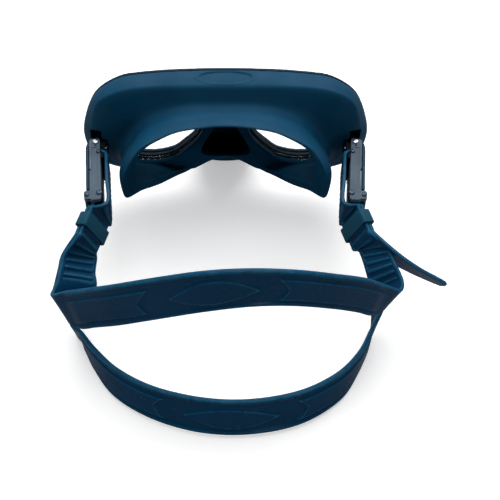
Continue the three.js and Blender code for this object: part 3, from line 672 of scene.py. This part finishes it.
def lens_set(name, side):
    glass = lens_solid(f"lens_glass_{name}", side, GLASS_GROW, *GLASS_FACES)
    dress(bevel(glass, 0.3, 2, 50), GLASS, "mask_body", [f"lens_{name}"], 40)
    retainer = ring_round_lens(f"retainer_ring_{name}", side, GLASS_GROW, RETAINER[1], RETAINER[0])
    dress(retainer, DARK_PLASTIC, "mask_body", [f"lens_retainer_{name}"])


# ---- the strap -----------------------------------------------------------------------------------
BUCKLE_TILT = math.radians(5.6)
ROLLER_R = 2.8
STRAP_THICK, STRAP_HALF, GAP = 2.0, 10.0, 0.35
KEEPER_HALF = 9.7
PLY = (STRAP_THICK + GAP) / 2    # from a keeper's middle to the middle of either ply
TURN_R = ROLLER_R + 0.3 + STRAP_THICK / 2

# Top and bottom edge of the free tail, tip first, and of the strap from the keeper to the fork.
RIGHT_RUN = {
    "tail": [((117.5, -108, 52.5), (117.5, -106, 48.5)), ((114.5, -106.5, 54), (114, -102.5, 46)),
             ((103, -100, 56.3), (103.3, -95, 44.5)), ((92, -91.5, 59), (90, -86, 44))],
    "rear": [((87.5, -86, 57), (73.8, -81, 46.5)), ((91.5, -97, 55.5), (77.5, -94, 42)),
             ((94.5, -106, 52.5), (80, -102, 32))],
}
LEFT_RUN = {
    "tail": [((93, -106, 44.5), (83, -105, 33)), ((92.2, -102.5, 46), (75, -100, 34)),
             ((90.8, -94.5, 48.8), (73.6, -90, 37.6)), ((89.2, -87, 51.6), (73.2, -82, 39.6))],
    "rear": [((87.4, -88, 54), (71.4, -83, 42)), ((89.2, -95, 51), (71.8, -91, 40)),
             ((90.6, -103, 48), (71.2, -100, 36))],
}
# The fork and the two bands behind the head: top edge, slot's upper and lower edge, bottom edge.
BANDS = [
    ((92.5, -111, 52), (84.5, -114, 38.5), (84, -114, 36.5), (82, -109, 13)),
    ((84, -114, 60), (77, -119.5, 41), (78.5, -122, 31), (78.5, -119, 10)),
    ((72, -118.5, 71.5), (68, -123, 49), (71, -136, 31), (71, -136, 10)),
    ((56, -124, 82), (53, -128.5, 60), (58, -149.5, 31), (60, -153, 10)),
    ((35, -129, 92), (33, -134, 70), (38, -160, 31), (39, -167, 10)),
    ((12, -132, 97), (12, -137, 73.5), (12.5, -165, 31), (13, -173, 10)),
    ((-11, -132, 95), (-11, -137, 69), (-12, -164, 31), (-13, -172, 10)),
    ((-36, -129, 85.5), (-34, -134, 58.5), (-37, -157.5, 31), (-38, -164, 10)),
    ((-57, -124, 73.5), (-54, -129, 46), (-56, -147, 31), (-58, -151, 10)),
    ((-72, -118.5, 63), (-68, -124, 36.5), (-69, -134.5, 31), (-70, -134.5, 10)),
    ((-84, -114, 54.5), (-78, -120, 29.5), (-78, -121.5, 27.5), (-78, -118, 10)),
    ((-92.5, -111, 48), (-85, -114.5, 30), (-84.5, -114.5, 28), (-82.5, -109, 11)),
]


def name_of(side):
    return "right" if side > 0 else "left"


def unit(v):
    return np.asarray(v, float) / np.linalg.norm(v)


def keeper_axes(side):
    """A keeper's middle, the way the strap runs through it, the strap's width and its outer side."""
    along = unit((side * 0.3, -0.94, -0.17))
    out = unit(np.cross(along, (side * 0.48, -0.26, 0.84)))
    out = out if out[0] * side > 0 else -out
    up = np.cross(out, along)
    up = up if up[2] > 0 else -up
    return centre_of(f"strap_keeper_{name_of(side)}"), along, up, out


def from_buckle(side, points):
    """Points in a buckle's own frame (x outwards, y forwards, z from the pivot), in the rim's frame."""
    p = np.asarray(points, float) * [side, 1, 1]
    c, s = math.cos(-side * BUCKLE_TILT), math.sin(-side * BUCKLE_TILT)
    turned = np.stack([p[..., 0] * c - p[..., 1] * s, p[..., 0] * s + p[..., 1] * c, p[..., 2]], -1)
    return turned + centre_of(f"roller_pin_{name_of(side)}")


def station(top, bottom):
    top, bottom = np.asarray(top, float), np.asarray(bottom, float)
    return np.array([top, (top + bottom) / 2, (top + bottom) / 2, bottom])


def side_stations(side, run):
    """From the free end of the tail, through the keeper, round the roller and back to the fork."""
    middle, along, up, out = keeper_axes(side)

    def loose(pair):
        return station(np.array(pair[0]) * [side, 1, 1], np.array(pair[1]) * [side, 1, 1])

    def in_keeper(a, o):
        at = middle + along * a + out * o
        return station(at + up * (KEEPER_HALF - GAP), at - up * (KEEPER_HALF - GAP))

    def in_buckle(x, y):
        return station(from_buckle(side, (x, y, STRAP_HALF)), from_buckle(side, (x, y, -STRAP_HALF)))

    made = [loose(pair) for pair in run["tail"]]
    made += [in_keeper(a, PLY) for a in (10, 7.5, -6, -8.2)]
    made += [in_buckle(TURN_R - 0.5, -36), in_buckle(TURN_R, -18)]
    for degrees in range(0, 181, 30):
        a = math.radians(degrees)
        made.append(in_buckle(TURN_R * math.cos(a), TURN_R * math.sin(a)))
    made += [in_buckle(-TURN_R, -18), in_buckle(-TURN_R, -36)]
    made += [in_keeper(a, -PLY) for a in (-8.2, -6, 7.5, 10)]
    return made + [loose(pair) for pair in run["rear"]]


ROW_STEP = 0.6       # millimetres between one row of points and the next along the strap
CURVE_STEPS = 40     # points to each stretch of the curve that the rows are taken from
ACROSS = 34          # about as many points as lie across each half of the strap, on each face
EDGE_ROUND = 0.7
EDGE_STEPS = np.array([0.0, 0.1, 0.3, 0.7, 1.2])    # the closer points by an edge: distances from it


def strap_rows():
    """The strap's four edges at even steps, the distance along it, and which rows are split."""
    right, left = side_stations(1, RIGHT_RUN), side_stations(-1, LEFT_RUN)
    bands = [np.array(points, float) for points in BANDS]
    controls = np.array(right + bands + left[::-1])
    dense = smooth_curve(controls, CURVE_STEPS)
    middle = dense.mean(axis=1)
    run = np.concatenate([[0], np.cumsum(np.linalg.norm(np.diff(middle, axis=0), axis=1))])
    s = np.arange(0, run[-1], ROW_STEP)
    s = np.append(s, run[-1])
    edges = np.stack([[np.interp(s, run, dense[:, e, k]) for k in range(3)] for e in range(4)])
    edges = edges.transpose(2, 0, 1)

    def run_at(control):
        return run[control * CURVE_STEPS]

    split = (s > run_at(len(right))) & (s < run_at(len(right) + len(bands) - 1))
    middle_edge = (edges[:, 1] + edges[:, 2]) / 2
    edges[~split, 1] = middle_edge[~split]
    edges[~split, 2] = middle_edge[~split]
    rib_ends = (run_at(len(right) - 1) - 3.0, run_at(len(right) + len(bands)) + 3.0)
    return edges, s, split, rib_ends


RIB_PITCH, RIB_DEPTH, RIB_PROUD = 4.3, 0.6, 0.3


def rib_height(s, across, rib_ends):
    """Cross ribs on the inner face, with sunk ground between them. `across` is -1 to 1."""
    wave = np.cos(2 * math.pi * s / RIB_PITCH)
    ridge = eased(wave, 0.0, 0.45)
    inside = 1 - eased(np.abs(across), 0.74, 0.82)
    length = s[-1]
    reach = eased(s, 4, 6) * (1 - eased(s, rib_ends[0] - 1, rib_ends[0]))
    reach = reach + eased(s, rib_ends[1], rib_ends[1] + 1) * (1 - eased(s, length - 6, length - 4))
    return (ridge * (RIB_DEPTH + RIB_PROUD) - RIB_DEPTH) * inside * reach


# Each band's raised shapes: the leaf's middle and half length, then the swallow tails' tips and notches.
UPPER_PADS = {"leaf": (-5.6, 23.0, 0.31), "left": (-38.0, -43.4), "right": (25.4, 30.4)}
LOWER_PADS = {"leaf": (3.0, 25.5, 0.29), "left": (-31.0, -36.5), "right": (36.2, 41.6)}
PAD_HEIGHT, BORDER_HEIGHT, BORDER_WIDTH = 1.0, 0.6, 2.3
PAD_MIDDLE, PAD_REACH = 0.52, 0.3    # shares of the band's width


def pad_height(x, share, width, pads, at_band):
    """Raised border, leaf and swallow-tailed panels on a band's outer face. `share` is 0 to 1 across."""
    d = np.minimum(share, 1 - share) * width
    border = BORDER_HEIGHT * (1 - eased(d, BORDER_WIDTH, BORDER_WIDTH + 0.4))
    middle, half, tall = pads["leaf"]
    from_middle = np.abs(share - PAD_MIDDLE)
    leaf = tall * (1 - ((x - middle) / half) ** 2) - from_middle
    leaf = eased(leaf * width, -0.1, 0.5)
    notch = from_middle / PAD_REACH
    panels = 0
    for side, (tip, deep) in ((-1, pads["left"]), (1, pads["right"])):
        edge = deep + (tip - deep) * np.clip(notch, 0, 1.2) ** 1.4
        panels = panels + eased(side * (x - edge), -0.2, 0.4)
    panels = panels * eased((PAD_REACH - from_middle) * width, -0.2, 0.4)
    return at_band * (border + PAD_HEIGHT * np.clip(leaf + panels, 0, 1))


def edge_loss(d):
    """What a rounded edge takes off the half thickness at a distance d from the edge."""
    short = np.maximum(EDGE_ROUND - d, 0)
    return EDGE_ROUND - np.sqrt(np.maximum(EDGE_ROUND**2 - short**2, 0))


def strap_half(edges, s, split, rib_ends, lower):
    """Points of one half's outer and inner face, each row from its first edge to its second."""
    a, b = edges[:, 2 * lower], edges[:, 2 * lower + 1]
    width = np.linalg.norm(b - a, axis=1)
    even = np.linspace(0, 1, ACROSS)[1:-1]
    near = EDGE_STEPS / width[:, None]
    start = near[:, -1:]
    share = np.concatenate([near, start + (1 - 2 * start) * even, 1 - near[:, ::-1]], axis=1)
    at = a[:, None] + (b - a)[:, None] * share[..., None]
    tangents = np.gradient(edges, s, axis=0)
    ta, tb = tangents[:, 2 * lower], tangents[:, 2 * lower + 1]
    along = ta[:, None] + (tb - ta)[:, None] * share[..., None]
    normal = np.cross(along, (b - a)[:, None])
    normal /= np.linalg.norm(normal, axis=2, keepdims=True)
    gap = np.linalg.norm(edges[:, 2] - edges[:, 1], axis=1)
    opened = np.clip(gap / 1.2, 0, 1)[:, None]
    outer_d, slot_d = (1 - share, share) if lower else (share, 1 - share)
    loss = edge_loss(outer_d * width[:, None]) + opened * edge_loss(slot_d * width[:, None])
    tip = eased(np.minimum(s, s[-1] - s), -0.3, 2.0)[:, None]
    half = (STRAP_THICK / 2 - loss) * (0.35 + 0.65 * tip)
    across = (share if lower else share - 1) * np.ones_like(half)
    ribs = rib_height(np.repeat(s[:, None], share.shape[1], 1), across, rib_ends)
    at_band = eased(opened * np.minimum(s - s[split][0], s[split][-1] - s)[:, None], 5, 14)
    pads = pad_height(at[..., 0], share, width[:, None], LOWER_PADS if lower else UPPER_PADS, at_band)
    edge_fade = eased(np.minimum(outer_d, slot_d) * width[:, None], 0.0, 0.7)
    outer = at + normal * (half + pads * edge_fade)[..., None]
    inner = at - normal * (half + ribs)[..., None]
    return outer, inner


def strap():
    edges, s, split, rib_ends = strap_rows()
    upper = strap_half(edges, s, split, rib_ends, 0)
    lower = strap_half(edges, s, split, rib_ends, 1)
    # Where the strap isn't split, the two halves share their middle line.
    for face in (0, 1):
        shared = (upper[face][:, -1] + lower[face][:, 0]) / 2
        upper[face][~split, -1] = shared[~split]
        lower[face][~split, 0] = shared[~split]
    n = upper[0].shape[1]
    rows = len(s)
    points = np.concatenate([*upper, *lower], axis=1)
    index = np.arange(rows * 4 * n).reshape(rows, 4 * n)
    faces = []
    for i in range(rows - 1):
        p, q = index[i], index[i + 1]
        for first in range(4):
            for j in range(first * n, first * n + n - 1):
                faces.append((p[j], q[j], q[j + 1], p[j + 1]))
        edges_to_close = [(0, n), (3 * n - 1, 4 * n - 1)]
        if split[i] or split[i + 1]:
            edges_to_close += [(n - 1, 2 * n - 1), (2 * n, 3 * n)]
        faces += [(p[a], q[a], q[b], p[b]) for a, b in edges_to_close]
    for row in (index[0], index[-1]):
        for first in (0, 2 * n):
            faces.append(tuple(row[first:first + n]) + tuple(row[first + n:first + 2 * n][::-1]))
    body = new_object("strap_band", points.reshape(-1, 3), [tuple(int(v) for v in f) for f in faces])
    return dress(body, STRAP_SILICONE, "strap_assembly", ["strap"])


def keeper(name, side):
    middle, along, up, out = keeper_axes(side)
    wall, length = 1.2, 8.5
    deep = STRAP_THICK + 1.5 * GAP
    section = rounded_rectangle(0, wall, -length / 2, length / 2, 0.5, 4)
    rings = []
    for grow, run in section:
        thick, wide = deep + grow, KEEPER_HALF + grow
        path = rounded_rectangle(-thick, thick, -wide, wide, 0.5 + grow, 8)
        rings.append(middle + path[:, :1] * out + path[:, 1:] * up + along * run)
    body = loft(f"keeper_loop_{name}", rings, closed=True)
    return dress(body, KEEPER_SILICONE, f"keeper_{name}", [f"strap_keeper_{name}"])


# ---- the buckles: drawn in the right buckle's own frame and placed on either side ----------------
RAIL_IN, RAIL_OUT, RAIL_FRONT, RAIL_REAR, RAIL_Z0, RAIL_Z1 = -1.0, 5.2, 10.4, -37.0, 10.5, 13.0
HINGE, GUIDE, LEVER_PIN = (1.5, 8.0), (0.0, -32.0), (6.8, -33.0)
PIN_R, LEVER_PIN_R, PIN_HEAD = 1.1, 0.8, 0.5
LEVER_IN, LEVER_OUT, LEVER_FRONT, LEVER_HALF = 5.6, 7.3, 8.0, 12.0
BARREL_R, BARREL_HALF, EAR_REACH = 1.55, 10, 3.0
DIMPLE, DIMPLE_R = (1.6, 5.1), 0.7
NOTCH, NOTCH_R = (RAIL_OUT + 0.4, -14), 1.15
GRIPS, GRIP_FRONT, GRIP_PITCH, GRIP_HALF = 7, 4.6, 1.7, 9.5


def place_in_buckle(obj, side):
    """Moves a piece drawn in a buckle's own frame, in millimetres, to its place on one side."""
    set_points(obj, from_buckle(side, get_points(obj)))
    if side < 0:
        obj.data.flip_normals()
    return obj


def buckle_rail(way):
    """The upper (way 1) or lower (way -1) plate, with its ear, sunk track, dimple and notch."""
    z0, z1 = sorted((way * RAIL_Z0, way * RAIL_Z1))
    rail = plate("rail", rounded_rectangle(RAIL_IN, RAIL_OUT, RAIL_REAR, RAIL_FRONT, 1.8), z0, z1)
    x, y = LEVER_PIN
    ear = rounded_rectangle(RAIL_OUT - 3, x + 1.6, y - EAR_REACH, y + EAR_REACH, 1.5)
    carve(rail, [plate("ear", ear, z0, z1)], "UNION", "EXACT")
    face = way * RAIL_Z1
    above = face + way * 2
    low, high = sorted((face - way * 0.3, above))
    track = plate("track", rounded_rectangle(0.4, 3.9, -27.5, 3.6, 1.2), low, high)
    low, high = sorted((face - way * 0.8, above))
    dimple = lathe("dimple", [(0, DIMPLE_R), (high - low, DIMPLE_R)], (*DIMPLE, low), (*DIMPLE, high), 16)
    notch = lathe("notch", [(0, NOTCH_R), (6, NOTCH_R)], (*NOTCH, z0 - 1), (*NOTCH, z1 + 1))
    carve(rail, [track, dimple, notch], solver="EXACT")
    return bevel(rail, 0.32, 3)


def housing(name, side):
    divider = bevel(block("divider", (-1.1, -28, -RAIL_Z0 - 0.5), (1.3, -4.0, RAIL_Z0 + 0.5)), 0.3)
    whole = joined(f"housing_{name}", [buckle_rail(1), buckle_rail(-1), divider])
    body = place_in_buckle(whole, side)
    return dress(body, BUCKLE_PLASTIC, "strap_assembly", [f"buckle_housing_{name}"], 30)


def upright_pin(name, side, node, at, material, radius=PIN_R, lip=PIN_HEAD):
    """A pin through both plates, with a low dimpled dome on either end."""
    end = RAIL_Z1 + GAP
    head = radius + lip
    dome = [(0.0, head), (0.25, head), (0.45, head * 0.82), (0.5, head * 0.4), (0.32, head * 0.3),
            (0.28, 0.02)]
    top = [(2 * end + a, r) for a, r in dome]
    bottom = [(-a, r) for a, r in dome[::-1]]
    profile = bottom + [(0.02, radius), (2 * end - 0.02, radius)] + top
    body = lathe(f"{node}_shaft_{name}", profile, (*at, -end), (*at, end), 28)
    place_in_buckle(body, side)
    return dress(body, material, "strap_assembly", [f"{node}_pin_{name}"], 50)


def lever(name, side):
    """The buckle's outer cover, with rooms for the plates' ears, a barrel and a row of grips."""
    cover = [(LEVER_IN, -29.5), (LEVER_IN + 0.5, -32), (LEVER_OUT, -33), (LEVER_OUT, LEVER_FRONT - 3),
             (LEVER_OUT - 0.8, LEVER_FRONT), (LEVER_IN + 0.2, LEVER_FRONT), (LEVER_IN, LEVER_FRONT - 3)]
    body = plate("cover", cover, -LEVER_HALF, LEVER_HALF)
    rooms = []
    for z0, z1 in ((BARREL_HALF, 30), (-30, -BARREL_HALF)):
        rooms.append(block("ear_room", (LEVER_IN - 1, -FAR, z0), (LEVER_OUT + 2, -28, z1)))
    body = bevel(carve(body, rooms, solver="EXACT"), 0.35, 3)
    long = 2 * BARREL_HALF
    profile = [(0, 1.2), (0.3, BARREL_R), (long - 0.3, BARREL_R), (long, 1.2)]
    barrel = lathe("barrel", profile, (*LEVER_PIN, -BARREL_HALF), (*LEVER_PIN, BARREL_HALF), 24)
    grips = []
    for i in range(GRIPS):
        y = GRIP_FRONT - GRIP_PITCH * i
        profile = [(0, 0.1), (0.6, 0.42), (18.4, 0.42), (19, 0.1)]
        grips.append(lathe("grip", profile, (LEVER_OUT, y, -GRIP_HALF), (LEVER_OUT, y, GRIP_HALF), 12))
    whole = place_in_buckle(joined(f"lever_cover_{name}", [body, barrel, *grips]), side)
    return dress(whole, LEVER_PLASTIC, f"lever_{name}", [f"release_lever_{name}"], 30)


def roller(name, side):
    """The drum that the strap turns round, with shallow grooves."""
    half = STRAP_HALF - 0.2
    profile = [(0, 1.3), (0, ROLLER_R - 0.4), (0.4, ROLLER_R)]
    for i in range(1, 9):
        profile.append((half * i / 4.5, ROLLER_R - (0.15 if i % 2 else 0.0)))
    profile += [(2 * half - 0.4, ROLLER_R), (2 * half, ROLLER_R - 0.4), (2 * half, 1.3)]
    body = place_in_buckle(lathe(f"roller_drum_{name}", profile, (0, 0, -half), (0, 0, half)), side)
    return dress(body, DARK_PLASTIC, f"roller_{name}", [f"strap_roller_{name}"], 40)


PIN_PAST_LUG = 3.35


def swivel_pin(name, side):
    x0, x1 = LUG_X[0] - PIN_PAST_LUG, LUG_X[1] + PIN_PAST_LUG
    head = PIN_R + 0.8
    profile = [(-0.5, 0.02), (-0.5, head * 0.7), (-0.2, head), (0, head), (0, PIN_R)]
    run = x1 - x0
    profile += [(run - a, r) for a, r in profile[::-1]]
    start, end = (side * x0, PIVOT_Y, PIVOT_Z), (side * x1, PIVOT_Y, PIVOT_Z)
    body = lathe(f"pivot_pin_{name}", profile, start, end, 28)
    return dress(body, STEEL, "mask_body", [f"swivel_pin_{name}"], 50)


def buckle(name, side):
    housing(name, side)
    upright_pin(name, side, "hinge", HINGE, STEEL)
    upright_pin(name, side, "roller", (0.0, 0.0), DARK_STEEL, lip=0.1)
    upright_pin(name, side, "guide", GUIDE, DARK_STEEL)
    upright_pin(name, side, "lever", LEVER_PIN, DARK_STEEL, LEVER_PIN_R)
    lever(name, side)
    roller(name, side)
    swivel_pin(name, side)
    for node, material in (("swivel_block", DARK_PLASTIC), ("lever_spring", STEEL)):
        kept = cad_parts[f"{node}_{name}"]
        kept.data.materials.clear()
        kept.data.materials.append(material)
    block_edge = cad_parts[f"swivel_block_{name}"].modifiers.new("edge", "BEVEL")
    block_edge.width, block_edge.segments = 0.3 * MM, 2
    block_edge.limit_method, block_edge.angle_limit = "ANGLE", math.radians(40)


# ---- the object ----------------------------------------------------------------------------------
skirt()
front_frame()
strap()
for side_name, side_sign in SIDES.items():
    lens_set(side_name, side_sign)
    keeper(side_name, side_sign)
    buckle(side_name, side_sign)


# ---- floor, light and camera ---------------------------------------------------------------------
FLOOR_HALF = 3.0     # metres
FLOOR_GLOW = 0.42    # lifts the floor's shadows for the camera only, as on a lit white table


def floor():
    half, z = FLOOR_HALF, cad_box[0].z
    corners = [(-half, -half, z), (half, -half, z), (half, half, z), (-half, half, z)]
    mesh = bpy.data.meshes.new("floor")
    mesh.from_pydata(corners, [], [(0, 1, 2, 3)])
    obj = bpy.data.objects.new("floor", mesh)
    bpy.context.scene.collection.objects.link(obj)
    n = Nodes("pale_floor")
    seen = n.mix(n.spread(n.noise(6.0), 0, 0.3), (0.93, 0.93, 0.93), (0.90, 0.90, 0.905))
    bounced = (0.40, 0.41, 0.43)
    direct = n.add("ShaderNodeLightPath").outputs["Is Camera Ray"]
    n.feed(n.shader, "Base Color", n.mix(direct, bounced, seen))
    n.feed(n.shader, "Emission Color", (1.0, 1.0, 1.0, 1.0))
    n.feed(n.shader, "Emission Strength", n.spread(direct, 0.0, FLOOR_GLOW, 0.0, 1.0))
    n.feed(n.shader, "Roughness", 0.8)
    n.feed(n.shader, "Specular IOR Level", 0.1)
    mesh.materials.append(n.material)


def area_light(name, place, target, size, power):
    data = bpy.data.lights.new(name, "AREA")
    data.shape = "RECTANGLE"
    data.size, data.size_y = size
    data.energy = power
    obj = bpy.data.objects.new(name, data)
    obj.location = place
    obj.rotation_euler = (Vector(target) - Vector(place)).to_track_quat("-Z", "Y").to_euler()
    bpy.context.scene.collection.objects.link(obj)


def sky():
    """A soft studio sky, bright in front of the mask and dim behind the camera."""
    world = bpy.data.worlds.new("studio")
    world.use_nodes = True
    tree = world.node_tree
    direction = tree.nodes.new("ShaderNodeTexCoord")
    parts = tree.nodes.new("ShaderNodeSeparateXYZ")
    strength = tree.nodes.new("ShaderNodeMapRange")
    settings = {"From Min": -0.7, "From Max": 0.7, "To Min": 0.05, "To Max": 0.65}
    for key, value in settings.items():
        strength.inputs[key].default_value = value
    tree.links.new(direction.outputs["Generated"], parts.inputs[0])
    tree.links.new(parts.outputs["Y"], strength.inputs["Value"])
    tree.links.new(strength.outputs["Result"], tree.nodes["Background"].inputs["Strength"])
    tree.nodes["Background"].inputs["Color"].default_value = (1.0, 1.0, 1.0, 1)
    bpy.context.scene.world = world


def lights():
    sky()
    area_light("front_box", (0.1, 0.62, 0.85), (0, -0.05, 0.05), (1.2, 0.7), 10.0)
    area_light("top_box", (0.0, -0.1, 1.3), (0, -0.06, 0.03), (1.0, 1.0), 5.0)
    area_light("left_box", (-1.0, -0.3, 0.8), (0, -0.08, 0.03), (0.5, 0.5), 1.2)
    area_light("window", (0.45, -1.7, 0.35), (0, -0.1, 0.05), (0.3, 0.12), 2.2)


def camera():
    """The photograph's view: from behind and above, 50 degrees down."""
    data = bpy.data.cameras.new("camera")
    data.sensor_width = 36.0
    data.lens = 70.56
    data.shift_x, data.shift_y = 0.049, -0.0396
    obj = bpy.data.objects.new("camera", data)
    obj.location = to_row((0.0, -419.96, 468.98))
    obj.rotation_euler = (math.radians(40), 0, 0)
    bpy.context.scene.collection.objects.link(obj)
    bpy.context.scene.camera = obj


floor()
lights()
camera()
bpy.context.scene.view_settings.view_transform = "Standard"
